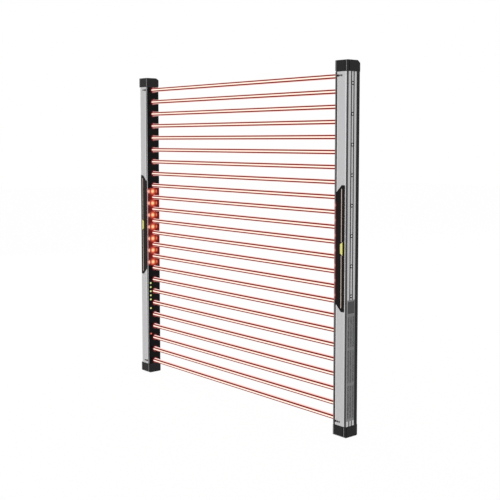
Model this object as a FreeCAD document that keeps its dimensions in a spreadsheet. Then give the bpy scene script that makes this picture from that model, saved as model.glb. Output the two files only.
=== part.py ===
import FreeCAD, Part
import math
import os
import re
import Sketcher

# A safety light curtain: an emitter bar and a receiver bar of one size, which face
# each other across the field that they guard. Millimetres, +Z up. X runs from the
# emitter to the receiver, and Z = 0 is the foot of both bars.

sizes = {
    # the pair and its beams
    "beam_count": 24,
    "beam_pitch": 20,
    "end_to_beam": 20,
    "field_width": 436,
    "bar_depth": 24,
    "bar_width": 24,
    # end caps and their seals
    "cap_height": 14,
    "gasket_thickness": 1,
    "cap_front_radius": 2.2,
    "cap_back_edge": 0.6,
    "cap_far_slope_width": 5,
    "cap_far_slope_height": 4,
    "cap_front_slope_depth": 1.6,
    "cap_front_slope_height": 2.6,
    "cap_foot_bevel": 1.6,
    "cap_groove_width": 0.9,
    "cap_groove_depth": 0.5,
    "cap_groove_inset": 5.1,
    "spigot_length": 6,
    "spigot_gap": 0.2,
    # aluminium case
    "window_flank": 5,
    "case_wall": 1.6,
    "case_back": 4,
    "edge_band": 1.6,
    "edge_drop": 0.35,
    "near_corner": 2.3,
    "rib_width": 3.9,
    "back_groove_width": 1.9,
    "centre_strip": 2.9,
    "back_groove_depth": 0.8,
    # smoked window tube
    "slide_gap": 0.2,
    "window_wall": 1.8,
    "tube_wall": 1.4,
    # optics
    "optics_gap": 0.3,
    "lens_gap": 0.4,
    "lens_size": 9,
    "lens_rise": 0.8,
    "lens_plate": 1.2,
    "lens_plate_width": 10.6,
    "holder_depth": 6,
    "cell_size": 7,
    # boards and what is on them
    "board_thickness": 1.2,
    "board_rear_gap": 2.3,
    "board_edge_gap": 0.4,
    "control_board_gap": 25,
    "light_chip_size": 3,
    "light_chip_height": 1.6,
    "header_width": 12,
    "header_length": 5,
    "logic_chip_size": 7,
    "capacitor_width": 6,
    "capacitor_length": 10,
    # operation indicators and status lamps
    "indicator_count": 7,
    "indicator_pitch": 20,
    "indicator_size": 4.6,
    "indicator_offset": 4.6,
    "lamp_size": 1.8,
    "lamp_offset": 7,
    "lamp_pitch": 7,
    "lamp_row_base": 126,
    "lock_lamp_height": 111,
    "fault_lamp_height": 67,
    "guide_fit": 0.1,
    # side plate
    "plate_length": 168,
    "plate_lift": 3,
    "plate_back_gap": 1.2,
    "plate_corner": 9.8,
    "plate_thickness": 0.6,
    "plate_rim": 0.25,
    "line_from_back": 5.3,
    "line_width": 1.2,
    "line_end_gap": 5,
    "foil_thickness": 0.15,
    "tab_length": 18,
    "tab_front": 1.6,
    "tab_back": 1.4,
    "tab_taper": 3,
    # fasteners
    "screw_radius": 1,
    "screw_fit": 0.05,
    "screw_hole_depth": 10,
    "screw_head_radius": 1.8,
    "screw_head_height": 1.4,
    "screw_recess": 2,
    "screw_inset": 2.2,
    "drive_radius": 0.8,
    "drive_depth": 0.8,
    "insert_radius": 2.8,
    "insert_bore": 1.65,
    "insert_length": 8,
    "top_insert_inset": 12,
    "foot_insert_inset": 5,
    "foot_insert_offset": 4.5,
    # plug-in connector in the foot
    "socket_inset": 15,
    "socket_radius": 6.2,
    "socket_wall": 1,
    "socket_depth": 12,
    "socket_floor": 2.5,
    "contact_size": 0.8,
    "contact_length": 4.2,
    "contact_circle": 2.75,
    "contact_count": 8,
    # rear label of the receiver
    "label_start": 22,
    "label_length": 163,
    "label_thickness": 0.1,
}

doc = FreeCAD.newDocument("light_curtain")
sheet = doc.addObject("Spreadsheet::Sheet", "Sizes")
for row, (word, number) in enumerate(sizes.items(), start=1):
    sheet.set(f"A{row}", word)
    sheet.set(f"B{row}", str(number))
    sheet.setAlias(f"B{row}", word)
doc.recompute()

pieces = []
EMITTER, RECEIVER = -1, 1

# Places that several pieces share, each worded in the sheet's own names. Depths run
# from the window's face into the bar, widths from the bar's centre plane, heights up.
bar_height = "((beam_count - 1) * beam_pitch + 2 * end_to_beam)"
case_foot = "(cap_height + gasket_thickness)"
case_length = f"({bar_height} - 2 * {case_foot})"
half_width = "(bar_width / 2)"
head_half = f"({half_width} - edge_drop)"
channel_half = f"({half_width} - case_wall)"
channel_back = "(bar_depth - case_back)"
tube_half = f"({channel_half} - slide_gap)"
tube_back = f"({channel_back} - slide_gap)"
cavity_half = f"({tube_half} - tube_wall)"
cavity_back = f"({tube_back} - tube_wall)"
lens_top = "(window_wall + lens_gap)"
lens_plate_front = f"({lens_top} + lens_rise)"
holder_front = f"({lens_plate_front} + lens_plate)"
holder_back = f"({holder_front} + holder_depth)"
board_back = f"({holder_back} + board_thickness)"
control_back = f"({cavity_back} - board_rear_gap)"
control_front = f"({control_back} - board_thickness)"
control_length = f"({case_length} - 2 * control_board_gap)"
board_half = f"({cavity_half} - board_edge_gap)"
optics_foot = f"({case_foot} + optics_gap)"
optics_length = f"({case_length} - 2 * optics_gap)"
middle = f"({bar_height} / 2)"
plate_middle = f"({middle} + plate_lift)"
near_rib = f"(near_corner - {half_width})"
near_groove = f"({near_rib} + rib_width)"
centre_near = f"({near_groove} + back_groove_width)"
centre_far = f"({centre_near} + centre_strip)"
far_rib = f"({centre_far} + back_groove_width)"
far_strip = f"({far_rib} + rib_width)"
centre_line = f"(({centre_near} + {centre_far}) / 2)"
groove_floor = "(bar_depth - back_groove_depth)"
screw_depth = "(bar_depth - screw_inset)"
spigot_front = f"({board_back} + spigot_gap)"
spigot_back = f"({cavity_back} - spigot_gap)"
spigot_half = f"({cavity_half} - spigot_gap)"
plate_face = f"({half_width} + plate_thickness)"
plate_back = "(bar_depth - near_corner - plate_back_gap)"
socket_centre = "(bar_depth - socket_inset)"


def bind(text):
    """Turn a size worded in the sheet's names into an expression on the sheet."""
    return re.sub(r"[a-z]\w+", lambda word: "Sizes." + word.group(), text)


def value(text):
    """The present number of a size worded in the sheet's names."""
    return float(sheet.evalExpression(bind(text)))


def new_body(name, side):
    """A sub-part, placed so that its window face stands at the edge of the field."""
    body = doc.addObject("PartDesign::Body", name)
    body.Label = name
    body.setExpression(".Placement.Base.x", bind(f"{side} * field_width / 2"))
    body.setExpression(".Placement.Base.y", bind("(plate_thickness + foil_thickness) / 2"))
    pieces.append(body)
    return body


def origin_plane(body, role):
    return next(plane for plane in body.Origin.OriginFeatures if plane.Role == role)


def new_sketch(body, role, lift="0"):
    """A sketch on an origin plane of its own body, lifted along that plane's normal."""
    sketch = body.newObject("Sketcher::SketchObject", f"{body.Name}_sketch")
    sketch.AttachmentSupport = [(origin_plane(body, role), "")]
    sketch.MapMode = "FlatFace"
    sketch.setExpression(".AttachmentOffset.Base.z", bind(lift))
    return sketch


def hold_point(sketch, curve, point, across, up):
    """Fix one point of a curve at two sizes."""
    for kind, text in (("DistanceX", across), ("DistanceY", up)):
        number = sketch.addConstraint(Sketcher.Constraint(kind, curve, point, value(text)))
        sketch.setExpression(f"Constraints[{number}]", bind(text))


def draw_outline(sketch, corners):
    """A closed outline through corners, each a pair of worded sizes."""
    spots = [FreeCAD.Vector(value(across), value(up), 0) for across, up in corners]
    first = sketch.GeometryCount
    for start, end in zip(spots, spots[1:] + spots[:1]):
        sketch.addGeometry(Part.LineSegment(start, end))
    for step, (across, up) in enumerate(corners):
        before = first + (step - 1) % len(corners)
        sketch.addConstraint(Sketcher.Constraint("Coincident", before, 2, first + step, 1))
        hold_point(sketch, first + step, 1, across, up)


def draw_box(sketch, left, right, low, high):
    draw_outline(sketch, [(left, low), (right, low), (right, high), (left, high)])


def draw_circle(sketch, across, up, radius):
    centre = FreeCAD.Vector(value(across), value(up), 0)
    curve = sketch.addGeometry(Part.Circle(centre, FreeCAD.Vector(0, 0, 1), value(radius)))
    hold_point(sketch, curve, 3, across, up)
    number = sketch.addConstraint(Sketcher.Constraint("Radius", curve, value(radius)))
    sketch.setExpression(f"Constraints[{number}]", bind(radius))


def add_pad(body, sketch, length, backwards=False):
    pad = body.newObject("PartDesign::Pad", f"{body.Name}_pad")
    pad.Profile = sketch
    pad.setExpression("Length", bind(length))
    pad.Reversed = backwards
    doc.recompute()
    return pad


def add_pocket(body, sketch, length=None, backwards=False):
    """Cut a sketch away, to a depth or right through both ways, and see that it cut."""
    whole = body.Shape.Volume
    pocket = body.newObject("PartDesign::Pocket", f"{body.Name}_pocket")
    pocket.Profile = sketch
    if length:
        pocket.setExpression("Length", bind(length))
        pocket.Reversed = backwards
    else:
        pocket.Type = "ThroughAll"
        pocket.Midplane = True
    doc.recompute()
    if body.Shape.Volume >= whole:
        raise ValueError(f"{body.Name}: a pocket cut nothing")
    return pocket


def repeat_up(body, feature, count, pitch):
    """Repeat a feature upwards along the bar."""
    pattern = body.newObject("PartDesign::LinearPattern", f"{body.Name}_row")
    pattern.Originals = [feature]
    pattern.Direction = (origin_plane(body, "Z_Axis"), [""])
    pattern.setExpression("Length", bind(f"(({count}) - 1) * ({pitch})"))
    pattern.setExpression("Occurrences", bind(count))
    body.Tip = pattern
    doc.recompute()
    return pattern


def upright_edges(body, side, depth, width):
    """Names of the upright edges that stand at a depth and a width of the bar."""
    spot = FreeCAD.Vector(side * value(depth), value(width), 0)
    names = []
    for number, edge in enumerate(body.Tip.Shape.Edges, start=1):
        low, high = edge.Vertexes[0].Point, edge.Vertexes[-1].Point
        upright = abs(low.x - high.x) < 1e-6 and abs(low.y - high.y) < 1e-6
        if upright and abs(low.x - spot.x) < 1e-4 and abs(low.y - spot.y) < 1e-4:
            names.append(f"Edge{number}")
    return names


def round_edges(body, names, radius, kind="Fillet"):
    rounded = body.newObject(f"PartDesign::{kind}", f"{body.Name}_{kind.lower()}")
    rounded.Base = (body.Tip if body.Tip != rounded else rounded.BaseFeature, names)
    rounded.setExpression("Radius" if kind == "Fillet" else "Size", bind(radius))
    doc.recompute()
    return rounded


def make_outer_case(name, side):
    """Extruded aluminium channel: plain flanks, ribbed back, a screw hole in each end."""
    body = new_body(name, side)
    profile = new_sketch(body, "XY_Plane", case_foot)
    band_front = "(window_flank + edge_band)"
    band_back = "(bar_depth - near_corner - edge_band)"
    flank_back = "(bar_depth - near_corner)"
    near, far = f"(-{half_width})", half_width
    outside = [
        ("window_flank", f"(-{head_half})"),
        (band_front, near),
        (band_back, near),
        (flank_back, f"(-{head_half})"),
        ("bar_depth", near_rib),
        ("bar_depth", near_groove),
        (groove_floor, near_groove),
        (groove_floor, centre_near),
        ("bar_depth", centre_near),
        ("bar_depth", centre_far),
        (groove_floor, centre_far),
        (groove_floor, far_rib),
        ("bar_depth", far_rib),
        ("bar_depth", far_strip),
        (groove_floor, far_strip),
        (groove_floor, head_half),
        (flank_back, head_half),
        (band_back, far),
        (band_front, far),
        ("window_flank", head_half),
    ]
    inside = [
        ("window_flank", channel_half),
        (channel_back, channel_half),
        (channel_back, f"(-{channel_half})"),
        ("window_flank", f"(-{channel_half})"),
    ]
    corners = [(f"{side} * {depth}", width) for depth, width in outside + inside]
    draw_outline(profile, corners)
    add_pad(body, profile, case_length)
    for level, backwards in ((case_foot, True), (f"({case_foot} + {case_length})", False)):
        holes = new_sketch(body, "XY_Plane", level)
        draw_circle(holes, f"{side} * {screw_depth}", centre_line, "(screw_radius + screw_fit)")
        add_pocket(body, holes, "screw_hole_depth", backwards)
    return body


def make_window_tube(name, side):
    """Smoked tube: its wide head is the window, its narrow body slides in the case."""
    body = new_body(name, side)
    profile = new_sketch(body, "XY_Plane", case_foot)
    corners = [
        ("0", f"(-{head_half})"),
        ("window_flank", f"(-{head_half})"),
        ("window_flank", f"(-{tube_half})"),
        (tube_back, f"(-{tube_half})"),
        (tube_back, tube_half),
        ("window_flank", tube_half),
        ("window_flank", head_half),
        ("0", head_half),
    ]
    draw_outline(profile, [(f"{side} * {depth}", width) for depth, width in corners])
    add_pad(body, profile, case_length)
    front = upright_edges(body, side, "0", f"(-{head_half})")
    front += upright_edges(body, side, "0", head_half)
    round_edges(body, front, "cap_front_radius")
    cavity = new_sketch(body, "XY_Plane")
    draw_box(cavity, f"{side} * window_wall", f"{side} * {cavity_back}",
             f"(-{cavity_half})", cavity_half)
    add_pocket(body, cavity)
    return body


def indicator_foot():
    """Height of the lowest operation indicator."""
    return f"({middle} - (indicator_count - 1) / 2 * indicator_pitch)"


def lamp_heights():
    """Heights of the small status lamps: a row of five, then two by themselves."""
    row = [f"(lamp_row_base + {step} * lamp_pitch)" for step in range(5)]
    return row + ["lock_lamp_height", "fault_lamp_height"]


def make_lens_strip(name, side):
    """One moulded strip with a raised lens in front of each beam."""
    body = new_body(name, side)
    plate = new_sketch(body, "XY_Plane", optics_foot)
    draw_box(plate, f"{side} * {lens_plate_front}", f"{side} * {holder_front}",
             "(-lens_plate_width / 2)", "(lens_plate_width / 2)")
    add_pad(body, plate, optics_length)
    lens = new_sketch(body, "XZ_Plane")
    draw_lens(lens, side)
    bulge = add_pad(body, lens, "lens_size")
    bulge.Midplane = True
    repeat_up(body, bulge, "beam_count", "beam_pitch")
    cut_indicator_holes(body, side, "lens_plate")
    return body


def draw_lens(sketch, side):
    """A shallow arc that stands on the strip's front, one lens tall."""
    low, high = "(end_to_beam - lens_size / 2)", "(end_to_beam + lens_size / 2)"
    foot = f"{side} * {lens_plate_front}"
    radius = "((lens_size * lens_size / 4 + lens_rise * lens_rise) / (2 * lens_rise))"
    centre = FreeCAD.Vector(side * (value(lens_plate_front) + value(radius)
                                    - value("lens_rise")), value("end_to_beam"), 0)
    reach = math.asin(value("lens_size") / 2 / value(radius))
    facing = math.pi if side > 0 else 0
    circle = Part.Circle(centre, FreeCAD.Vector(0, 0, 1), value(radius))
    arc = sketch.addGeometry(Part.ArcOfCircle(circle, facing - reach, facing + reach))
    first, last = (high, low) if side > 0 else (low, high)
    base = sketch.addGeometry(Part.LineSegment(
        FreeCAD.Vector(value(foot), value(last), 0),
        FreeCAD.Vector(value(foot), value(first), 0)))
    sketch.addConstraint(Sketcher.Constraint("Coincident", arc, 2, base, 1))
    sketch.addConstraint(Sketcher.Constraint("Coincident", base, 2, arc, 1))
    hold_point(sketch, base, 1, foot, last)
    hold_point(sketch, base, 2, foot, first)
    number = sketch.addConstraint(Sketcher.Constraint("Radius", arc, value(radius)))
    sketch.setExpression(f"Constraints[{number}]", bind(radius))


def draw_square(sketch, across, up, size):
    draw_box(sketch, f"({across} - {size} / 2)", f"({across} + {size} / 2)",
             f"({up} - {size} / 2)", f"({up} + {size} / 2)")


def cut_indicator_holes(body, side, depth):
    """Clear the way of the operation indicators through a piece in front of the board."""
    start = lens_plate_front if depth == "lens_plate" else holder_front
    guide = new_sketch(body, "YZ_Plane", f"{side} * {start}")
    draw_square(guide, "(-indicator_offset)", indicator_foot(),
                "(indicator_size + 2 * guide_fit)")
    hole = add_pocket(body, guide, depth, side > 0)
    repeat_up(body, hole, "indicator_count", "indicator_pitch")


def make_optics_holder(name, side):
    """Black bar with one square cell behind each lens and a hole for each light guide."""
    body = new_body(name, side)
    block = new_sketch(body, "XY_Plane", optics_foot)
    draw_box(block, f"{side} * {holder_front}", f"{side} * {holder_back}",
             f"(-{board_half})", board_half)
    add_pad(body, block, optics_length)
    cell = new_sketch(body, "YZ_Plane", f"{side} * {holder_front}")
    draw_box(cell, "(-cell_size / 2)", "(cell_size / 2)",
             "(end_to_beam - cell_size / 2)", "(end_to_beam + cell_size / 2)")
    hole = add_pocket(body, cell, "holder_depth", side > 0)
    repeat_up(body, hole, "beam_count", "beam_pitch")
    cut_indicator_holes(body, side, "holder_depth")
    lamps = new_sketch(body, "YZ_Plane", f"{side} * {holder_front}")
    for height in lamp_heights():
        draw_square(lamps, "(-lamp_offset)", height, "(lamp_size + 2 * guide_fit)")
    add_pocket(body, lamps, "holder_depth", side > 0)
    return body


def make_operation_indicators(name, side):
    """Seven light guides from the beam board to the back of the window."""
    body = new_body(name, side)
    guide = new_sketch(body, "YZ_Plane", f"{side} * {lens_top}")
    draw_square(guide, "(-indicator_offset)", indicator_foot(), "indicator_size")
    rod = add_pad(body, guide, f"({holder_back} - {lens_top})", side < 0)
    repeat_up(body, rod, "indicator_count", "indicator_pitch")
    return body


def make_status_lamps(name, side):
    """Small light guides near the window's edge, in a row of five and two apart."""
    body = new_body(name, side)
    guide = new_sketch(body, "YZ_Plane", f"{side} * {lens_top}")
    for height in lamp_heights():
        draw_square(guide, "(-lamp_offset)", height, "lamp_size")
    add_pad(body, guide, f"({holder_back} - {lens_top})", side < 0)
    return body


def make_beam_board(name, side):
    body = new_body(name, side)
    board = new_sketch(body, "XY_Plane", optics_foot)
    draw_box(board, f"{side} * {holder_back}", f"{side} * {board_back}",
             f"(-{board_half})", board_half)
    add_pad(body, board, optics_length)
    return body


def make_beam_elements(name, side):
    """One light source or light detector on the board in each cell of the holder."""
    body = new_body(name, side)
    chip = new_sketch(body, "YZ_Plane", f"{side} * {holder_back}")
    draw_box(chip, "(-light_chip_size / 2)", "(light_chip_size / 2)",
             "(end_to_beam - light_chip_size / 2)", "(end_to_beam + light_chip_size / 2)")
    block = add_pad(body, chip, "light_chip_height", side > 0)
    repeat_up(body, block, "beam_count", "beam_pitch")
    return body


def make_control_board(name, side):
    """The second board, which carries the logic behind the beam board."""
    body = new_body(name, side)
    board = new_sketch(body, "XY_Plane", f"({case_foot} + control_board_gap)")
    draw_box(board, f"{side} * {control_front}", f"{side} * {control_back}",
             f"(-{board_half})", board_half)
    add_pad(body, board, control_length)
    return body


def make_board_parts(name, side):
    """What stands between the boards: headers that join them, chips and capacitors."""
    body = new_body(name, side)
    plan = new_sketch(body, "YZ_Plane", f"{side} * {control_front}")
    header = ("header_width", "header_length")
    chip = ("logic_chip_size", "logic_chip_size")
    capacitor = ("capacitor_width", "capacitor_length")
    row = ((header, 0.06), (chip, 0.25), (capacitor, 0.4), (chip, 0.6), (capacitor, 0.78),
           (header, 0.94))
    for (wide, tall), share in row:
        centre = f"({case_foot} + control_board_gap + {share} * {control_length})"
        draw_box(plan, f"(-{wide} / 2)", f"({wide} / 2)",
                 f"({centre} - {tall} / 2)", f"({centre} + {tall} / 2)")
    add_pad(body, plan, f"({control_front} - {board_back})", side > 0)
    return body


def cap_blank(body, side, foot):
    """The outside of an end cap, with the window's rounded front edges carried on."""
    outline = new_sketch(body, "XY_Plane", foot)
    draw_box(outline, "0", f"{side} * bar_depth", f"(-{half_width})", half_width)
    add_pad(body, outline, "cap_height")
    front = upright_edges(body, side, "0", f"(-{half_width})")
    front += upright_edges(body, side, "0", half_width)
    round_edges(body, front, "cap_front_radius")
    back = upright_edges(body, side, "bar_depth", f"(-{half_width})")
    back += upright_edges(body, side, "bar_depth", half_width)
    round_edges(body, back, "cap_back_edge", "Chamfer")


def add_spigot(body, side, foot, backwards):
    """The plug that fills the tube's end behind the boards."""
    plug = new_sketch(body, "XY_Plane", foot)
    draw_box(plug, f"{side} * {spigot_front}", f"{side} * {spigot_back}",
             f"(-{spigot_half})", spigot_half)
    add_pad(body, plug, "(spigot_length + gasket_thickness)", backwards)


def cut_cap_grooves(body, side, foot, high):
    """Thin upright grooves beside the cap's near back corner."""
    flank = new_sketch(body, "XY_Plane", foot)
    edge = f"(-{half_width})"
    floor = f"(-{half_width} + cap_groove_depth)"
    for start in ("(bar_depth - cap_groove_inset)", "(bar_depth - near_corner)"):
        draw_box(flank, f"{side} * {start}", f"{side} * ({start} + cap_groove_width)",
                 edge, floor)
    draw_box(flank, f"{side} * (bar_depth - cap_groove_depth)", f"{side} * bar_depth",
             near_rib, f"({near_rib} + cap_groove_width)")
    add_pocket(body, flank, high, True)


def cut_cap_screws(body, side, face, inward):
    """Through hole and head recess of the cap screw, from the outer face."""
    for radius, depth in (("(screw_radius + screw_fit)", "(cap_height + gasket_thickness)"),
                          ("(screw_head_radius + 2 * screw_fit)", "screw_recess")):
        holes = new_sketch(body, "XY_Plane", face)
        draw_circle(holes, f"{side} * {screw_depth}", centre_line, radius)
        add_pocket(body, holes, depth, inward)


def make_top_cap(name, side):
    body = new_body(name, side)
    foot = f"({bar_height} - cap_height)"
    cap_blank(body, side, foot)
    add_spigot(body, side, foot, True)
    cut_cap_grooves(body, side, foot, "(cap_height - cap_groove_width * 2)")
    slope = new_sketch(body, "YZ_Plane")
    draw_outline(slope, [
        (f"({half_width} - cap_far_slope_width)", bar_height),
        (half_width, f"({bar_height} - cap_far_slope_height)"),
        (half_width, bar_height),
    ])
    add_pocket(body, slope)
    brow = new_sketch(body, "XZ_Plane")
    draw_outline(brow, [
        ("0", bar_height),
        (f"{side} * cap_front_slope_depth", bar_height),
        ("0", f"({bar_height} - cap_front_slope_height)"),
    ])
    add_pocket(body, brow)
    seat = new_sketch(body, "XY_Plane", bar_height)
    draw_circle(seat, f"{side} * (bar_depth - top_insert_inset)", "0", "insert_radius")
    add_pocket(body, seat, "insert_length")
    cut_cap_screws(body, side, bar_height, False)
    return body


def make_bottom_cap(name, side):
    """Foot of the bar: the connector's well, a bracket insert and the screw recesses."""
    body = new_body(name, side)
    cap_blank(body, side, "0")
    add_spigot(body, side, "cap_height", False)
    cut_cap_grooves(body, side, "cap_foot_bevel", "(cap_height - cap_foot_bevel)")
    for edge, inner in ((f"(-{half_width})", f"(-{half_width} + cap_foot_bevel)"),
                        (half_width, f"({half_width} - cap_foot_bevel)")):
        bevel = new_sketch(body, "YZ_Plane")
        draw_outline(bevel, [(inner, "0"), (edge, "0"), (edge, "cap_foot_bevel")])
        add_pocket(body, bevel)
    well = new_sketch(body, "XY_Plane")
    draw_circle(well, f"{side} * {socket_centre}", "0", "socket_radius")
    add_pocket(body, well, "socket_depth", True)
    seat = new_sketch(body, "XY_Plane")
    draw_circle(seat, f"{side} * (bar_depth - foot_insert_inset)", "foot_insert_offset",
                "insert_radius")
    add_pocket(body, seat, "insert_length", True)
    cut_cap_screws(body, side, "0", True)
    return body


def make_gasket(name, side, foot):
    """Flat rubber seal between a cap and the ends of the case and the tube."""
    body = new_body(name, side)
    sheet_outline = new_sketch(body, "XY_Plane", foot)
    rim = "edge_drop"
    draw_box(sheet_outline, f"{side} * {rim}", f"{side} * (bar_depth - {rim})",
             f"(-{half_width} + {rim})", f"({half_width} - {rim})")
    add_pad(body, sheet_outline, "gasket_thickness")
    front = upright_edges(body, side, rim, f"(-{half_width} + {rim})")
    front += upright_edges(body, side, rim, f"({half_width} - {rim})")
    round_edges(body, front, "cap_front_radius", "Chamfer")
    holes = new_sketch(body, "XY_Plane", foot)
    draw_box(holes, f"{side} * ({spigot_front} - spigot_gap)",
             f"{side} * ({spigot_back} + spigot_gap)",
             f"(-{spigot_half} - spigot_gap)", f"({spigot_half} + spigot_gap)")
    draw_circle(holes, f"{side} * {screw_depth}", centre_line, "(screw_radius + 2 * screw_fit)")
    add_pocket(body, holes)
    return body


def make_cap_screw(name, side, face, inward):
    """Hexagon-socket screw that pulls a cap onto the case."""
    body = new_body(name, side)
    sign = "1" if inward else "(-1)"
    under_head = f"({face} + {sign} * screw_recess)"
    top_of_head = f"({under_head} - {sign} * screw_head_height)"
    reach = "(cap_height + gasket_thickness + screw_hole_depth - screw_recess - screw_fit)"
    for radius, start, length in (("screw_head_radius", top_of_head, "screw_head_height"),
                                  ("screw_radius", under_head, reach)):
        ring = new_sketch(body, "XY_Plane", start)
        draw_circle(ring, f"{side} * {screw_depth}", centre_line, radius)
        add_pad(body, ring, length, not inward)
    drive = new_sketch(body, "XY_Plane", top_of_head)
    draw_hexagon(drive, f"{side} * {screw_depth}", centre_line, "drive_radius")
    add_pocket(body, drive, "drive_depth", inward)
    return body


def draw_hexagon(sketch, across, up, radius):
    """A hexagon with two corners on the line along X."""
    half, rise = f"({radius} / 2)", f"({radius} * 0.8660254)"
    corners = [(radius, "0"), (half, rise), (f"(-{half})", rise),
               (f"(-{radius})", "0"), (f"(-{half})", f"(-{rise})"), (half, f"(-{rise})")]
    draw_outline(sketch, [(f"({across} + {dx})", f"({up} + {dy})") for dx, dy in corners])


def make_insert(name, side, inset, width, face, inward):
    """Brass insert with the thread that a mounting bracket is screwed to."""
    body = new_body(name, side)
    ring = new_sketch(body, "XY_Plane", face)
    draw_circle(ring, f"{side} * (bar_depth - {inset})", width, "insert_radius")
    draw_circle(ring, f"{side} * (bar_depth - {inset})", width, "insert_bore")
    add_pad(body, ring, "insert_length", not inward)
    return body


def make_socket_shell(name, side):
    """Round shell of the plug-in connector, open downwards."""
    body = new_body(name, side)
    shell = new_sketch(body, "XY_Plane")
    draw_circle(shell, f"{side} * {socket_centre}", "0", "socket_radius")
    add_pad(body, shell, "socket_depth")
    well = new_sketch(body, "XY_Plane")
    draw_circle(well, f"{side} * {socket_centre}", "0", "(socket_radius - socket_wall)")
    add_pocket(body, well, "(socket_depth - socket_floor)", True)
    return body


def make_socket_contacts(name, side):
    """Contacts on a circle, which stand on the floor of the connector's shell."""
    body = new_body(name, side)
    ring = new_sketch(body, "XY_Plane", "(socket_depth - socket_floor)")
    count = int(sizes["contact_count"])
    for number in range(count):
        turn = 2 * math.pi * number / count
        across = f"({socket_centre} + contact_circle * {math.cos(turn):.6f})"
        draw_square(ring, f"({side} * {across})", f"(contact_circle * {math.sin(turn):.6f})",
                    "contact_size")
    add_pad(body, ring, "contact_length", True)
    return body


def make_side_plate(name, side):
    """Black name plate on the near flank, with two corners cut off by the window."""
    body = new_body(name, side)
    low, high = f"({plate_middle} - plate_length / 2)", f"({plate_middle} + plate_length / 2)"
    plate = new_sketch(body, "XZ_Plane", half_width)
    shoulder = "(window_flank + plate_corner)"
    corners = [("window_flank", f"({low} + plate_corner)"), (shoulder, low),
               (plate_back, low), (plate_back, high), (shoulder, high),
               ("window_flank", f"({high} - plate_corner)")]
    draw_outline(plate, [(f"{side} * {depth}", height) for depth, height in corners])
    add_pad(body, plate, "plate_thickness")
    outer = f"(-{plate_face})"
    names = []
    for number, edge in enumerate(body.Tip.Shape.Edges, start=1):
        if all(abs(vertex.Y - value(outer)) < 1e-6 for vertex in edge.Vertexes):
            names.append(f"Edge{number}")
    round_edges(body, names, "plate_rim", "Chamfer")
    return body


def line_depths():
    start = f"({plate_back} - line_from_back - line_width / 2)"
    return start, f"({start} + line_width)"


def make_plate_line(name, side):
    """Two lengths of tan foil on the side plate, above and below the tab."""
    body = new_body(name, side)
    strip = new_sketch(body, "XZ_Plane", plate_face)
    start, end = line_depths()
    for sign in ("1", "(-1)"):
        inner = f"({plate_middle} + {sign} * tab_length / 2)"
        outer = f"({plate_middle} + {sign} * (plate_length / 2 - line_end_gap))"
        draw_box(strip, f"{side} * {start}", f"{side} * {end}", inner, outer)
    add_pad(body, strip, "foil_thickness")
    return body


def make_plate_tab(name, side):
    """Yellow foil mark at the middle of the tan line."""
    body = new_body(name, side)
    mark = new_sketch(body, "XZ_Plane", plate_face)
    start, end = line_depths()
    low, high = f"({plate_middle} - tab_length / 2)", f"({plate_middle} + tab_length / 2)"
    front, back = f"({start} - tab_front)", f"({end} + tab_back)"
    corners = [(back, low), (back, high), (front, f"({high} - tab_taper)"),
               (front, f"({low} + tab_taper)")]
    draw_outline(mark, [(f"{side} * {depth}", height) for depth, height in corners])
    add_pad(body, mark, "foil_thickness")
    return body


def make_rear_label(name, side):
    """Thin rating label across the ribs of the back, without any print."""
    body = new_body(name, side)
    label = new_sketch(body, "YZ_Plane", f"{side} * bar_depth")
    draw_box(label, near_rib, far_strip,
             "label_start", "(label_start + label_length)")
    add_pad(body, label, "label_thickness", side < 0)
    return body


def make_bar(kind, element, side):
    """All pieces of one bar."""
    make_outer_case(f"{kind}_outer_case", side)
    make_window_tube(f"{kind}_window_tube", side)
    make_lens_strip(f"{kind}_lens_strip", side)
    make_optics_holder(f"{kind}_optics_holder", side)
    make_operation_indicators(f"{kind}_operation_indicators", side)
    make_status_lamps(f"{kind}_status_lamps", side)
    make_beam_board(f"{kind}_beam_board", side)
    make_beam_elements(f"{kind}_{element}", side)
    make_control_board(f"{kind}_control_board", side)
    make_board_parts(f"{kind}_board_parts", side)
    make_top_cap(f"{kind}_top_cap", side)
    make_bottom_cap(f"{kind}_bottom_cap", side)
    make_gasket(f"{kind}_top_gasket", side, f"({bar_height} - {case_foot})")
    make_gasket(f"{kind}_bottom_gasket", side, "cap_height")
    make_cap_screw(f"{kind}_top_screw", side, bar_height, False)
    make_cap_screw(f"{kind}_bottom_screw", side, "0", True)
    make_insert(f"{kind}_top_insert", side, "top_insert_inset", "0", bar_height, False)
    make_insert(f"{kind}_bottom_insert", side, "foot_insert_inset", "foot_insert_offset", "0", True)
    make_socket_shell(f"{kind}_socket_shell", side)
    make_socket_contacts(f"{kind}_socket_contacts", side)
    make_side_plate(f"{kind}_side_plate", side)
    make_plate_line(f"{kind}_plate_line", side)
    make_plate_tab(f"{kind}_plate_tab", side)


make_bar("emitter", "light_sources", EMITTER)
make_bar("receiver", "light_detectors", RECEIVER)
make_rear_label("receiver_rear_label", RECEIVER)

doc.recompute()
for item in doc.Objects:
    if {"Invalid", "Error"} & set(item.State):
        raise ValueError(f"{item.Name} failed: {item.State}")
for piece in pieces:
    if piece.Shape.isNull() or not piece.Shape.isValid():
        raise ValueError(f"{piece.Label} has no valid shape")

os.makedirs("parts", exist_ok=True)
for piece in pieces:
    piece.Shape.exportStep(f"parts/{piece.Label}.step")
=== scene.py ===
import bpy
import bmesh
import math
from mathutils import Matrix, Vector


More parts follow.
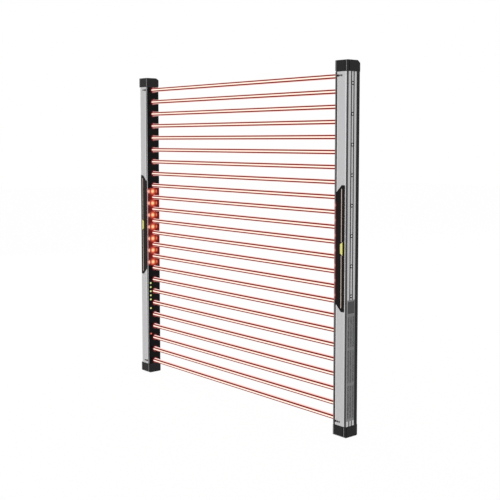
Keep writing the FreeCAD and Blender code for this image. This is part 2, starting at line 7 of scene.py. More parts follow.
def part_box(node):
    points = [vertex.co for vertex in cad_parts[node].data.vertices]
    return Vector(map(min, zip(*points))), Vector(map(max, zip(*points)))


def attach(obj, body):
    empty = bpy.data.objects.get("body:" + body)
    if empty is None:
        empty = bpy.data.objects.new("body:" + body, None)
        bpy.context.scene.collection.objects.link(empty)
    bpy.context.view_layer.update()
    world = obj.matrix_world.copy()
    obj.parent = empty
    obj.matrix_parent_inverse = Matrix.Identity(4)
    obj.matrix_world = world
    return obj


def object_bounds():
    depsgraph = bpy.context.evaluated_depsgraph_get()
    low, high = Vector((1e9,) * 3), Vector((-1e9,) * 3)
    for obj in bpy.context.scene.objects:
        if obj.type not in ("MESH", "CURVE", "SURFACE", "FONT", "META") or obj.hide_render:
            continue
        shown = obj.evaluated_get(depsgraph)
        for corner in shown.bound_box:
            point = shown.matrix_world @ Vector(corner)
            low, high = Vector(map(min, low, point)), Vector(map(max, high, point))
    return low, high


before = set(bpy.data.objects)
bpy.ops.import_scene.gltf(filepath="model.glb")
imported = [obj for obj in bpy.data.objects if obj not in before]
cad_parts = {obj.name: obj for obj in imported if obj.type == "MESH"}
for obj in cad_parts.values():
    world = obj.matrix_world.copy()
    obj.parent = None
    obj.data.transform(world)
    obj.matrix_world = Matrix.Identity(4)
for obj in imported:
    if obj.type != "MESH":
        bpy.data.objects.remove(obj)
cad_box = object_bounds()

# Scene: the pair stands on a plain white studio floor, seen from beside and behind the
# receiver. The camera stands a little lower than the tops of the bars and looks slightly
# down. The rest of its downward view is a shift of its frame, so the bars stay upright.
scene = bpy.context.scene
scene.view_settings.view_transform = "Standard"

camera_pitch = math.radians(-4.24)
camera_yaw = math.radians(49.63)
camera_data = bpy.data.cameras.new("studio_camera")
camera_data.lens = 66.29
camera_data.sensor_width = 36
camera_data.shift_y = -0.081
camera_data.clip_start = 0.01
studio_camera = bpy.data.objects.new("studio_camera", camera_data)
scene.collection.objects.link(studio_camera)
studio_camera.location = (1.0735, -0.8843, 0.3944)
studio_camera.rotation_euler = (math.pi / 2 + camera_pitch, 0, camera_yaw)
scene.camera = studio_camera


def new_material(name, **settings):
    """A material's node tree and shader, with constants on the shader's own sockets."""
    material = bpy.data.materials.new(name)
    material.use_nodes = True
    shader = material.node_tree.nodes["Principled BSDF"]
    for socket, setting in settings.items():
        shader.inputs[socket.replace("_", " ")].default_value = setting
    return material, material.node_tree, shader


def add_math(tree, operation, first, second=0.0, third=0.0):
    """One sum on sockets or numbers, with its result as a socket."""
    node = tree.nodes.new("ShaderNodeMath")
    node.operation = operation
    for number, term in enumerate((first, second, third)):
        if isinstance(term, bpy.types.NodeSocket):
            tree.links.new(term, node.inputs[number])
        else:
            node.inputs[number].default_value = term
    return node.outputs[0]


def add_ramp(tree, factor, stops):
    """Colours along a factor from 0 to 1."""
    ramp = tree.nodes.new("ShaderNodeValToRGB")
    tree.links.new(factor, ramp.inputs[0])
    while len(ramp.color_ramp.elements) < len(stops):
        ramp.color_ramp.elements.new(0.5)
    for element, (place, colour) in zip(ramp.color_ramp.elements, stops):
        element.position = place
        element.color = (*colour, 1)
    return ramp.outputs[0]


def object_place(tree):
    """Object coordinates, in the object's own metres: the whole place and its x, y and z."""
    coordinate = tree.nodes.new("ShaderNodeTexCoord")
    split = tree.nodes.new("ShaderNodeSeparateXYZ")
    tree.links.new(coordinate.outputs["Object"], split.inputs[0])
    return coordinate.outputs["Object"], split.outputs


def background_ray(tree):
    """One where a ray comes from the camera, a mirror or glass, and nought elsewhere."""
    path = tree.nodes.new("ShaderNodeLightPath")
    seen = add_math(tree, "MAXIMUM", path.outputs["Is Camera Ray"],
                    path.outputs["Is Glossy Ray"])
    return add_math(tree, "MAXIMUM", seen, path.outputs["Is Transmission Ray"])


floor_drop = 0.0004
floor_glare = 0.93
floor_level = 1.03
air_light = 0.5
bpy.ops.mesh.primitive_plane_add(size=12, location=(0, 0, -floor_drop))
studio_floor = bpy.context.object
studio_floor.name = "studio_floor"
floor_material, floor_tree, floor_shader = new_material(
    "white_floor", Base_Color=(0.86, 0.86, 0.86, 1), Roughness=0.7)
floor_glow = floor_tree.nodes.new("ShaderNodeEmission")
floor_glow.inputs["Strength"].default_value = floor_level
floor_mix = floor_tree.nodes.new("ShaderNodeMixShader")
floor_share = add_math(floor_tree, "MULTIPLY", background_ray(floor_tree), floor_glare)
floor_tree.links.new(floor_share, floor_mix.inputs[0])
floor_tree.links.new(floor_shader.outputs[0], floor_mix.inputs[1])
floor_tree.links.new(floor_glow.outputs[0], floor_mix.inputs[2])
floor_tree.links.new(floor_mix.outputs[0], floor_tree.nodes["Material Output"].inputs[0])
studio_floor.data.materials.append(floor_material)

world = bpy.data.worlds.new("studio_air")
world.use_nodes = True
scene.world = world
world_tree = world.node_tree
air = world_tree.nodes["Background"]
air.inputs["Color"].default_value = (1, 1, 1, 1)
air_level = add_math(world_tree, "MAXIMUM", background_ray(world_tree), air_light)
world_tree.links.new(air_level, air.inputs["Strength"])

pair_middle = (Vector(cad_box[0]) + Vector(cad_box[1])) / 2


def add_softbox(name, place, wide, tall, level):
    """A soft rectangular lamp of an even level that faces the middle of the pair."""
    lamp_data = bpy.data.lights.new(name, "AREA")
    lamp_data.shape = "RECTANGLE"
    lamp_data.size = wide
    lamp_data.size_y = tall
    lamp_data.energy = level * math.pi * wide * tall
    lamp = bpy.data.objects.new(name, lamp_data)
    scene.collection.objects.link(lamp)
    lamp.location = place
    aim = pair_middle - Vector(place)
    lamp.rotation_euler = aim.to_track_quat("-Z", "Y").to_euler()
    lamp.visible_camera = False


add_softbox("edge_strip", (-1.9, 0.15, 0.4), 0.35, 1.8, 4.0)
add_softbox("near_softbox", (0.5, -2.9, 0.6), 2.0, 2.0, 1.9)
add_softbox("rear_softbox", (0.2, 2.6, 1.2), 1.6, 1.6, 1.2)

# Outer cases: one aluminium extrusion each, clear anodised. Its broad faces are satin
# with fine draw lines, and its edge bands are painted lighter as a highlight. The grooves
# and the cut corner of its back are painted dark as shade, and the strip at the far back
# corner is painted near black as deep shade.
emitter_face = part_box("emitter_window_tube")[1].x
receiver_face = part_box("receiver_window_tube")[0].x
case_low, case_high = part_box("receiver_outer_case")
middle_y = (case_low.y + case_high.y) / 2
near_y = case_low.y
flank_front = case_low.x - receiver_face
case_depth = case_high.x - receiver_face
corner_cut = 0.0023
highlight_band_wide = 0.0016
groove_deep = 0.0008
far_rib_edge = middle_y + 0.0047
satin_low, satin_high = (0.575, 0.57, 0.58), (0.635, 0.63, 0.64)
satin_cloud = (0.51, 0.51, 0.52)
# lighter tones of the edge bands, a painted highlight
front_highlight_grey, rear_highlight_grey = (0.74, 0.74, 0.75), (0.7, 0.7, 0.71)
# painted shade for the grooves and back corners, darkest at the far back corner
groove_shade_grey = (0.065, 0.065, 0.068)
deep_shade_black = (0.012, 0.012, 0.013)


def depth_into_bar(tree, x_socket):
    """Distance behind the window's face, the same for both bars."""
    return add_math(tree, "SUBTRACT", add_math(tree, "ABSOLUTE", x_socket), receiver_face)


def within(tree, socket, low, high):
    """One between two numbers, and nought outside."""
    above = add_math(tree, "GREATER_THAN", socket, low)
    below = add_math(tree, "LESS_THAN", socket, high)
    return add_math(tree, "MULTIPLY", above, below)


def mix_colour(tree, share, first, second):
    """The first colour, turned into the second by a share from 0 to 1."""
    node = tree.nodes.new("ShaderNodeMix")
    node.data_type = "RGBA"
    for number, term in ((0, share), (6, first), (7, second)):
        if isinstance(term, bpy.types.NodeSocket):
            tree.links.new(term, node.inputs[number])
        else:
            node.inputs[number].default_value = (*term, 1) if number else term
    return node.outputs[2]


def add_noise(tree, place, stretch, scale, detail=3):
    """Noise from 0 to 1, with more grains to a metre where the scale is larger."""
    mapping = tree.nodes.new("ShaderNodeMapping")
    mapping.inputs["Scale"].default_value = stretch
    tree.links.new(place, mapping.inputs[0])
    noise = tree.nodes.new("ShaderNodeTexNoise")
    noise.inputs["Scale"].default_value = scale
    noise.inputs["Detail"].default_value = detail
    tree.links.new(mapping.outputs[0], noise.inputs[0])
    return noise.outputs[0]


def mottle(tree, grain, low, high):
    """A colour that wavers with a grain from one tone to another."""
    return add_ramp(tree, grain, [(0.3, low), (0.7, high)])


def add_bump(tree, shader, height, strength, distance):
    """Relief by a height from 0 to 1, at most a distance in metres."""
    bump = tree.nodes.new("ShaderNodeBump")
    bump.inputs["Strength"].default_value = strength
    bump.inputs["Distance"].default_value = distance
    tree.links.new(height, bump.inputs["Height"])
    tree.links.new(bump.outputs[0], shader.inputs["Normal"])


def finish_nodes(part, material):
    """Give a material to a part of both bars."""
    for kind in ("emitter", "receiver"):
        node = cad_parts.get(f"{kind}_{part}")
        if node:
            node.data.materials.clear()
            node.data.materials.append(material)


aluminium, tree, shader = new_material("anodised_aluminium", Specular_IOR_Level=0.15)
place, (x, y, _) = object_place(tree)
depth = depth_into_bar(tree, x)
lines = add_noise(tree, place, (1, 1, 0.012), 2600)
cloud = add_noise(tree, place, (1, 1, 1), 9)
tone = mottle(tree, lines, satin_low, satin_high)
tone = mix_colour(tree, add_math(tree, "MULTIPLY", cloud, 0.12), tone, satin_cloud)
# painted highlight: the edge bands beside the window and beside the back corner are lighter
front_highlight_band = within(tree, depth, flank_front, flank_front + highlight_band_wide)
rear_highlight_start = case_depth - corner_cut - highlight_band_wide
rear_highlight_band = within(tree, depth, rear_highlight_start, case_depth - corner_cut)
tone = mix_colour(tree, front_highlight_band, tone, front_highlight_grey)
tone = mix_colour(tree, add_math(tree, "MULTIPLY", rear_highlight_band, 0.4), tone, rear_highlight_grey)
# painted shade: the grooves and corner chamfers of the back are darkened, and the far back
# corner is painted near black and not metal
recess_shade = within(tree, depth, case_depth - corner_cut, case_depth - groove_deep / 4)
tone = mix_colour(tree, recess_shade, tone, groove_shade_grey)
far_side = add_math(tree, "GREATER_THAN", y, far_rib_edge)
far_shade_strip = add_math(tree, "MULTIPLY", recess_shade, far_side)
tone = mix_colour(tree, far_shade_strip, tone, deep_shade_black)
tree.links.new(tone, shader.inputs["Base Color"])
bare = add_math(tree, "SUBTRACT", 1.0, far_shade_strip)
tree.links.new(add_math(tree, "MULTIPLY", bare, 0.55), shader.inputs["Metallic"])
rough = add_math(tree, "MULTIPLY_ADD", lines, 0.16, 0.3)
tree.links.new(rough, shader.inputs["Roughness"])
add_bump(tree, shader, lines, 0.12, 0.0001)
finish_nodes("outer_case", aluminium)

# Window tubes: smoked resin, polished and almost black, with a painted highlight line
# along each flank. The light of the lit guides and the small lamps behind it is painted on
# the resin as its own glow in spots, the guides with a white-hot middle and painted
# reflections, and each beam leaves and enters through a painted red glow.
beam_pitch = 0.02
# depths behind the window face of a painted highlight line on the flanks, used on the caps too
flank_highlight_depths = (0.0019, 0.003)
bar_middle = (case_low.z + case_high.z) / 2
guide_low, guide_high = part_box("emitter_operation_indicators")
guide_y = (guide_low.y + guide_high.y) / 2
lamps_low, lamps_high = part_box("emitter_status_lamps")
resin_black = (0.003, 0.003, 0.004)
guide_reach, reflection_reach, beam_reach, lamp_reach = 0.0135, 0.0042, 0.0062, 0.0023
# where each light shows across the bar, and how deep the small lamps show
glow_y = guide_y + 0.0016
lamp_y = (lamps_low.y + lamps_high.y) / 2 - 0.0012
lamp_depth = 0.0009
glow_margin = 0.0035
# the two painted reflections of each guide: place across the bar and colour
guide_reflections = ((2 * middle_y - guide_y, (0.62, 0.14, 0.09)),
                (near_y + 0.0017, (1.0, 0.45, 0.32)))
# the rows of small lamps: height of the lowest, pitch, count and colour
lamp_rows = ((0.126, 0.007, 5, (0.85, 1.0, 0.3)),
             (0.111, 0.008, 1, (1.0, 1.0, 0.3)),
             (0.067, 0.008, 1, (1.0, 0.12, 0.06)))


def off_row(tree, socket, first, pitch):
    """Distance along a row to the nearest of its evenly spaced places."""
    shifted = add_math(tree, "SUBTRACT", socket, first - pitch / 2)
    wrapped = add_math(tree, "FLOORED_MODULO", shifted, pitch)
    return add_math(tree, "SUBTRACT", wrapped, pitch / 2)


def spread(tree, *offsets):
    """Distance from its offsets along two or three axes."""
    total = 0.0
    for offset in offsets:
        total = add_math(tree, "ADD", add_math(tree, "MULTIPLY", offset, offset), total)
    return add_math(tree, "SQRT", total)


def add_colours(tree, first, second):
    """Two lights on one spot."""
    node = tree.nodes.new("ShaderNodeVectorMath")
    node.operation = "ADD"
    tree.links.new(first, node.inputs[0])
    tree.links.new(second, node.inputs[1])
    return node.outputs[0]


def scale_colour(tree, colour, factor):
    """A light made weaker or stronger."""
    node = tree.nodes.new("ShaderNodeVectorMath")
    node.operation = "SCALE"
    tree.links.new(colour, node.inputs[0])
    tree.links.new(factor, node.inputs["Scale"])
    return node.outputs[0]


def glow_ramp(tree, distance, reach, stops):
    """Colour by distance from the middle of a glow, black past its reach."""
    return add_ramp(tree, add_math(tree, "DIVIDE", distance, reach), stops)


def make_window_material(name, beam_level, flank_highlight_tone):
    """Smoked resin with a painted highlight line and the lights that show in it, painted on as
    its own glow, each by the distance from its middle.
    """
    material, tree, shader = new_material(
        name, Roughness=0.08, Specular_IOR_Level=0.08, Emission_Strength=1.0)
    _, (x, y, z) = object_place(tree)
    depth = depth_into_bar(tree, x)
    # painted highlight: a lighter line along each flank
    line = within(tree, depth, flank_highlight_depths[0], flank_highlight_depths[1])
    tree.links.new(mix_colour(tree, line, resin_black, flank_highlight_tone),
                   shader.inputs["Base Color"])
    rise = off_row(tree, z, bar_middle, beam_pitch)
    # painted glow: the light of the guides, of their painted reflections, of the beams and of
    # the lamps, as the resin's own emission
    fade = add_math(tree, "MULTIPLY", depth, 0.55)
    zone = within(tree, z, guide_low.z - glow_margin, guide_high.z + glow_margin)
    guide = spread(tree, add_math(tree, "SUBTRACT", y, glow_y), rise, fade)
    glow = glow_ramp(tree, guide, guide_reach, [
        (0.0, (1.0, 0.8, 0.46)), (0.15, (1.0, 0.6, 0.28)), (0.23, (0.88, 0.2, 0.08)),
        (0.36, (0.48, 0.05, 0.025)), (0.55, (0.18, 0.008, 0.004)), (1.0, (0.1, 0.002, 0.001))])
    for reflection_y, colour in guide_reflections:
        across = add_math(tree, "MULTIPLY", add_math(tree, "SUBTRACT", y, reflection_y), 2.2)
        reflection_spread = spread(tree, across, rise, fade)
        edge = tuple(part * 0.35 for part in colour)
        reflection_glow = glow_ramp(tree, reflection_spread, reflection_reach, [
            (0.0, colour), (0.45, colour), (0.7, edge), (1.0, (0, 0, 0))])
        glow = add_colours(tree, glow, reflection_glow)
    glow = scale_colour(tree, glow, zone)
    beam = spread(tree, add_math(tree, "SUBTRACT", y, middle_y),
                  off_row(tree, z, bar_middle + beam_pitch / 2, beam_pitch),
                  add_math(tree, "MULTIPLY", depth, 0.8))
    beam_glow = glow_ramp(tree, beam, beam_reach, [
        (0.0, (1.0, 0.5, 0.42)), (0.3, (0.85, 0.16, 0.12)), (0.5, (0.5, 0.03, 0.025)),
        (0.75, (0.1, 0.004, 0.004)), (1.0, (0, 0, 0))])
    level = add_math(tree, "MULTIPLY", within(tree, z, case_low.z, case_high.z), beam_level)
    glow = add_colours(tree, glow, scale_colour(tree, beam_glow, level))
    across = add_math(tree, "SUBTRACT", y, lamp_y)
    inward = add_math(tree, "SUBTRACT", depth, lamp_depth)
    for lowest, pitch, count, colour in lamp_rows:
        row_start = lowest - pitch / 2
        row = within(tree, z, row_start, row_start + count * pitch)
        lamp = spread(tree, across, inward, off_row(tree, z, lowest, pitch))
        edge = tuple(part * 0.2 for part in colour)
        lamp_glow = glow_ramp(tree, lamp, lamp_reach, [
            (0.0, (1.0, 1.0, 0.7)), (0.55, colour), (0.8, edge), (1.0, (0, 0, 0))])
        glow = add_colours(tree, glow, scale_colour(tree, lamp_glow, row))
    tree.links.new(glow, shader.inputs["Emission Color"])
    return material


# the painted highlight line is lighter on the emitter than on the receiver
for kind, beam_level, flank_highlight_tone in (("emitter", 1.0, (0.8, 0.8, 0.81)),
                                    ("receiver", 0.45, (0.3, 0.3, 0.31))):
    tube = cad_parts[f"{kind}_window_tube"]
    tube.data.materials.clear()
    tube.data.materials.append(
        make_window_material(f"{kind}_smoked_window", beam_level, flank_highlight_tone))

# End caps: black moulded plastic with a fine grain, with a painted highlight a little lighter
# along the upright edges of its back corner and of its window end.
cap_highlight_wide = 0.0007
cap_highlight_end = case_depth - corner_cut + 0.0001
cap_black, tree, shader = new_material("moulded_black", Specular_IOR_Level=0.12)
place, (x, _, _) = object_place(tree)
depth = depth_into_bar(tree, x)
grain = add_noise(tree, place, (1, 1, 1), 2200, 2)
# painted highlight along the upright edges of the back corner and of the window end
cap_edge_highlight = add_math(tree, "ADD", within(tree, depth, cap_highlight_end - cap_highlight_wide, cap_highlight_end),
                  within(tree, depth, flank_highlight_depths[0], flank_highlight_depths[1]))
tone = mottle(tree, grain, (0.013, 0.013, 0.014), (0.021, 0.021, 0.022))
tone = mix_colour(tree, add_math(tree, "MULTIPLY", cap_edge_highlight, 0.8), tone, (0.4, 0.4, 0.4))
tree.links.new(tone, shader.inputs["Base Color"])
add_bump(tree, shader, grain, 0.25, 0.0001)
tree.links.new(add_math(tree, "MULTIPLY_ADD", grain, 0.2, 0.3), shader.inputs["Roughness"])
finish_nodes("top_cap", cap_black)
finish_nodes("bottom_cap", cap_black)

# Seals, boards, optics and hardware: moulded rubber and plastic, circuit board, and turned
# or plated metal. Most are shut inside the bar, and each has its maker's plain finish.
plain_finishes = (
    ("seal_rubber", ("top_gasket", "bottom_gasket"), (0.012, 0.012, 0.012), 0.0, 0.7),
    ("optics_black", ("optics_holder",), (0.02, 0.02, 0.02), 0.0, 0.6),
    ("clear_lens", ("lens_strip",), (0.7, 0.72, 0.75), 0.0, 0.08),
    ("solder_mask", ("beam_board", "control_board"), (0.03, 0.16, 0.07), 0.0, 0.3),
    ("optical_package", ("light_sources", "light_detectors"), (0.55, 0.55, 0.58), 0.0, 0.15),
    ("moulded_package", ("board_parts",), (0.03, 0.03, 0.03), 0.0, 0.5),
    ("machined_brass", ("top_insert", "bottom_insert"), (0.78, 0.58, 0.28), 1.0, 0.3),
    ("plain_steel", ("top_screw", "bottom_screw"), (0.5, 0.5, 0.51), 1.0, 0.32),
    ("nickel_plate", ("socket_shell",), (0.6, 0.59, 0.57), 1.0, 0.22),
    ("gold_plate", ("socket_contacts",), (0.9, 0.66, 0.25), 1.0, 0.2),
)
for name, parts, colour, metal, roughness in plain_finishes:
    material, tree, shader = new_material(name, Metallic=metal)
    place, _ = object_place(tree)
    grain = add_noise(tree, place, (1, 1, 1), 1500, 2)
    darker = tuple(part * 0.88 for part in colour)
    tree.links.new(mottle(tree, grain, darker, colour),
                   shader.inputs["Base Color"])
    tree.links.new(add_math(tree, "MULTIPLY_ADD", grain, 0.1, roughness - 0.05),
                   shader.inputs["Roughness"])
    add_bump(tree, shader, grain, 0.1, 0.00005)
    for part in parts:
        finish_nodes(part, material)

# Light guides behind the window: clear moulded rods pushed on to their lamps. The large
# ones are lit red with a hot middle. The small ones are lit green, the lowest of them red.
guide_lit_radius = 0.0033
red_lamp_top = 0.09
guide_red, tree, shader = new_material("lit_guide_red", Emission_Strength=1.0, Roughness=0.2)
_, (_, y, z) = object_place(tree)
ring = spread(tree, add_math(tree, "SUBTRACT", y, guide_y),
              off_row(tree, z, bar_middle, beam_pitch))
tone = glow_ramp(tree, ring, guide_lit_radius, [
    (0.0, (1.0, 0.6, 0.3)), (0.5, (1.0, 0.15, 0.05)), (1.0, (0.7, 0.05, 0.02))])
tree.links.new(tone, shader.inputs["Base Color"])
tree.links.new(tone, shader.inputs["Emission Color"])
finish_nodes("operation_indicators", guide_red)
guide_green, tree, shader = new_material(
    "lit_guide_green", Emission_Strength=1.0, Roughness=0.2)
place, (_, _, z) = object_place(tree)
grain = add_noise(tree, place, (1, 1, 1), 1200, 2)
tone = mottle(tree, grain, (0.3, 0.8, 0.1), (0.5, 0.9, 0.2))
tone = mix_colour(tree, add_math(tree, "LESS_THAN", z, red_lamp_top), tone, (1.0, 0.12, 0.06))
tree.links.new(tone, shader.inputs["Base Color"])
tree.links.new(tone, shader.inputs["Emission Color"])
finish_nodes("status_lamps", guide_green)

# Side plates: satin black plate on the near flank, with a bevelled rim, a tan foil line
# and a yellow foil mark at its middle. It is bare where a name would be.
plate_black, tree, shader = new_material(
    "plate_black", Roughness=0.34, Specular_IOR_Level=0.1)
place, _ = object_place(tree)
grain = add_noise(tree, place, (1, 1, 1), 3000, 2)
tree.links.new(mottle(tree, grain, (0.002, 0.002, 0.002), (0.004, 0.004, 0.004)),
               shader.inputs["Base Color"])
add_bump(tree, shader, grain, 0.12, 0.00005)
finish_nodes("side_plate", plate_black)
foil_tan, tree, shader = new_material("foil_tan", Roughness=0.45)
place, _ = object_place(tree)
grain = add_noise(tree, place, (1, 1, 0.2), 900)
tree.links.new(mottle(tree, grain, (0.7, 0.52, 0.42), (0.82, 0.64, 0.54)),
               shader.inputs["Base Color"])
finish_nodes("plate_line", foil_tan)
foil_yellow, tree, shader = new_material("foil_yellow", Roughness=0.4)
place, _ = object_place(tree)
grain = add_noise(tree, place, (1, 1, 1), 700)
tree.links.new(mottle(tree, grain, (1.0, 0.92, 0.16), (1.0, 0.97, 0.26)),
               shader.inputs["Base Color"])
finish_nodes("plate_tab", foil_yellow)

# Rear label of the receiver: grey foil stuck over the lower part of its back. Its fields
# are bare, with dark strokes in columns for small print and a dark field at its top.
label_low, label_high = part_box("receiver_rear_label")
label_margin = 0.001
column_pitch, column_half = 0.0046, 0.0015
block_pitch, block_half = 0.048, 0.022
head_tall = 0.018
print_black, head_black = (0.02, 0.02, 0.02), (0.03, 0.03, 0.03)
label_grey, tree, shader = new_material("label_grey", Roughness=0.5)
place, (_, y, z) = object_place(tree)
paper = add_noise(tree, place, (1, 1, 1), 400)
tone = mottle(tree, paper, (0.22, 0.222, 0.226), (0.27, 0.272, 0.276))
column = add_math(tree, "ABSOLUTE", off_row(tree, y, label_low.y + 0.0027, column_pitch))
column = add_math(tree, "LESS_THAN", column, column_half)
strokes = add_math(tree, "GREATER_THAN", add_noise(tree, place, (0.2, 0.6, 1), 1400, 1), 0.46)
block = add_math(tree, "ABSOLUTE", off_row(tree, z, label_low.z + 0.026, block_pitch))
block = add_math(tree, "LESS_THAN", block, block_half)
inside = within(tree, y, label_low.y + label_margin, label_high.y - label_margin)
body = within(tree, z, label_low.z + 0.003, label_high.z - head_tall - 0.004)
fields = 0.85
for mask in (column, strokes, block, inside, body):
    fields = add_math(tree, "MULTIPLY", mask, fields)
tone = mix_colour(tree, fields, tone, print_black)
head = within(tree, z, label_high.z - head_tall, label_high.z - 0.002)
head = add_math(tree, "MULTIPLY", head, inside)
tone = mix_colour(tree, add_math(tree, "MULTIPLY", head, 0.9), tone, head_black)
tree.links.new(tone, shader.inputs["Base Color"])
finish_nodes("rear_label", label_grey)

# Beams: visible light between the windows, one round pencil of it at each lens. Its
# middle is pale, and its upper and lower edges are red and end in a faint pink haze.
beam_count = 24
beam_low = bar_middle - (beam_count - 1) / 2 * beam_pitch
beam_high = bar_middle + (beam_count - 1) / 2 * beam_pitch
beam_radius = 0.0035
beam_taper = 0.006
beam_light, tree, shader = new_material(
    "beam_light", Base_Color=(0, 0, 0, 1), Roughness=1.0, Specular_IOR_Level=0.0,
    Emission_Strength=1.0)
_, (_, _, z) = object_place(tree)
off = add_math(tree, "ABSOLUTE", off_row(tree, z, bar_middle + beam_pitch / 2, beam_pitch))
share = add_math(tree, "DIVIDE", off, beam_radius)
tone = add_ramp(tree, share, [
    (0.0, (1.0, 0.82, 0.71)), (0.25, (1.0, 0.74, 0.62)), (0.31, (0.22, 0.004, 0.003)),
    (0.76, (0.21, 0.004, 0.003)), (0.82, (1.0, 0.52, 0.45)), (1.0, (1.0, 0.84, 0.81))])
glare = add_math(tree, "MULTIPLY_ADD", add_math(tree, "LESS_THAN", share, 0.3), 0.3, 1.0)
tree.links.new(scale_colour(tree, tone, glare), shader.inputs["Emission Color"])


def pick_nothing():
    """Leave every object unselected, so that an operator acts on its own piece alone."""
    for thing in bpy.context.selected_objects:
        thing.select_set(False)


pick_nothing()
field = receiver_face - emitter_face
bpy.ops.mesh.primitive_cylinder_add(
    vertices=32, radius=beam_radius, depth=field, end_fill_type="NGON",
    location=(0, middle_y, beam_low), rotation=(0, math.pi / 2, 0))
first_beam = bpy.context.object
bpy.ops.object.transform_apply(location=True, rotation=True, scale=True)
bpy.ops.object.mode_set(mode="EDIT")
for place_x in (-field / 2 + beam_taper, field / 2 - beam_taper):
    bpy.ops.mesh.select_all(action="SELECT")
    bpy.ops.mesh.bisect(plane_co=(place_x, middle_y, beam_low), plane_no=(1, 0, 0))
shape = bmesh.from_edit_mesh(first_beam.data)
bpy.ops.mesh.select_all(action="DESELECT")
for face in shape.faces:
    face.select_set(abs(face.normal.x) > 0.9)
bmesh.update_edit_mesh(first_beam.data)
bpy.ops.transform.resize(value=(1, 0.8, 0.8), center_override=(0, middle_y, beam_low))
bpy.ops.object.mode_set(mode="OBJECT")
bpy.ops.object.shade_smooth_by_angle(angle=math.radians(40))
first_beam.data.materials.append(beam_light)
for number in range(beam_count):
    beam = first_beam if number == 0 else first_beam.copy()
    if number:
        beam.data = first_beam.data.copy()
        scene.collection.objects.link(beam)
        beam.data.transform(Matrix.Translation((0, 0, number * beam_pitch)))
    beam.name = f"beam_{number + 1:02d}"
    beam.visible_shadow = False
    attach(beam, "root")

# Rear screws: small socket-head screws in seats painted near black as shade, one every 40 mm
# along the middle strip of each back. Those behind the receiver's label are left out.
screw_pitch = 0.04
screw_count = 12
lowest_screw = 0.03
strip_y = middle_y - 0.00245
seat_radius = 0.0025
seat_tall = 0.0009
seat_proud = 0.00015
# from the rim of the seat to the hole in the head: width inwards and rise of each step
screw_steps = ((0.0004, 0), (0.00005, -0.0001), (0.0008, 0), (0.00005, 0.00008),
               (0.0007, 0), (0.00004, -0.00006))
hole_shade_grey, head_bright = (0.05, 0.05, 0.05), (0.9, 0.9, 0.91)
screw_metal, tree, shader = new_material("seated_screw", Metallic=0.9, Roughness=0.35)
_, (_, y, z) = object_place(tree)
ring = spread(tree, add_math(tree, "SUBTRACT", y, strip_y),
              off_row(tree, z, lowest_screw, screw_pitch))
# painted shade: the hole in the head and the seat round the head are dark
tone = glow_ramp(tree, ring, seat_radius, [
    (0.0, hole_shade_grey), (0.17, hole_shade_grey), (0.21, head_bright), (0.46, head_bright),
    (0.5, (0.003, 0.003, 0.003)), (1.0, (0.005, 0.005, 0.005))])
tree.links.new(tone, shader.inputs["Base Color"])


def make_screw(side, height):
    """One seat with its screw, stepped out of a disc's face: rim, seat, head and hole."""
    pick_nothing()
    seat_x = side * (receiver_face + case_depth + seat_proud - seat_tall / 2)
    bpy.ops.mesh.primitive_cylinder_add(
        vertices=24, radius=seat_radius, depth=seat_tall, end_fill_type="NGON",
        location=(seat_x, strip_y, height), rotation=(0, side * math.pi / 2, 0))
    screw = bpy.context.object
    bpy.ops.object.transform_apply(location=True, rotation=True, scale=True)
    bpy.ops.object.mode_set(mode="EDIT")
    shape = bmesh.from_edit_mesh(screw.data)
    for face in shape.faces:
        face.select_set(face.normal.x * side > 0.9)
    bmesh.update_edit_mesh(screw.data)
    for inwards, rise in screw_steps:
        bpy.ops.mesh.inset(thickness=inwards, depth=rise)
    bpy.ops.object.mode_set(mode="OBJECT")
    bpy.ops.object.shade_smooth_by_angle(angle=math.radians(30))
    screw.data.materials.append(screw_metal)
    return screw


for kind, side in (("emitter", -1), ("receiver", 1)):
    first_screw = None
    for number in range(screw_count):
        height = lowest_screw + number * screw_pitch
        if side > 0 and height < label_high.z + seat_radius:
            continue
        if first_screw is None:
            first_screw, first_height = make_screw(side, height), height
            screw = first_screw
        else:
            screw = first_screw.copy()
            screw.data = first_screw.data.copy()
            scene.collection.objects.link(screw)
            screw.data.transform(Matrix.Translation((0, 0, height - first_height)))
        screw.name = f"{kind}_rear_screw_{number + 1:02d}"
        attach(screw, "root")

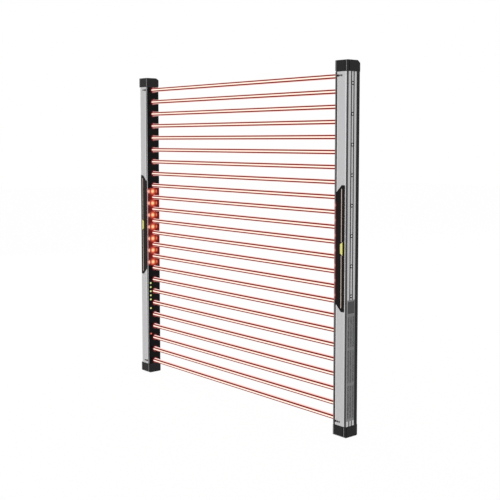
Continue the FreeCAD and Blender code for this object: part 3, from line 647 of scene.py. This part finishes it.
# Beam axis marks: three dots of ink on the near flank, level with the first and the last
# beam. The one next to the window is the largest and the darkest.
ink_thick = 0.00005
ink_gap = 0.00001
ink_span = 1 / 60
mark_dots = ((0.0068, 0.0017), (0.01, 0.0013), (0.0131, 0.0013))
mark_ink, tree, shader = new_material("mark_ink", Roughness=0.5, Specular_IOR_Level=0.15)
place, (x, _, _) = object_place(tree)
depth = depth_into_bar(tree, x)
tone = add_ramp(tree, add_math(tree, "DIVIDE", depth, ink_span), [
    (0.5, (0.002, 0.002, 0.002)), (0.52, (0.004, 0.004, 0.004)), (0.68, (0.005, 0.005, 0.005)),
    (0.7, (0.014, 0.014, 0.014))])
speck = add_noise(tree, place, (1, 1, 1), 3000, 2)
tone = mix_colour(tree, add_math(tree, "MULTIPLY", speck, 0.1), tone, (0.2, 0.2, 0.2))
tree.links.new(tone, shader.inputs["Base Color"])


def make_axis_mark(kind, side, end, height):
    """Three printed discs, joined into one piece."""
    discs = []
    for inward, radius in mark_dots:
        pick_nothing()
        bpy.ops.mesh.primitive_circle_add(
            vertices=20, radius=radius, fill_type="NGON",
            location=(side * (receiver_face + inward), near_y - ink_gap, height),
            rotation=(math.pi / 2, 0, 0))
        disc = bpy.context.object
        bpy.ops.object.transform_apply(location=True, rotation=True, scale=True)
        bpy.ops.object.mode_set(mode="EDIT")
        bpy.ops.mesh.select_all(action="SELECT")
        bpy.ops.mesh.extrude_region_move(TRANSFORM_OT_translate={"value": (0, -ink_thick, 0)})
        bpy.ops.mesh.select_all(action="SELECT")
        bpy.ops.mesh.normals_make_consistent(inside=False)
        bpy.ops.object.mode_set(mode="OBJECT")
        discs.append(disc)
    pick_nothing()
    for disc in discs:
        disc.select_set(True)
    bpy.context.view_layer.objects.active = discs[0]
    bpy.ops.object.join()
    mark = discs[0]
    mark.name = f"{kind}_{end}_axis_mark"
    mark.data.materials.append(mark_ink)
    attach(mark, "root")


for kind, side in (("emitter", -1), ("receiver", 1)):
    make_axis_mark(kind, side, "top", beam_high)
    make_axis_mark(kind, side, "bottom", beam_low)
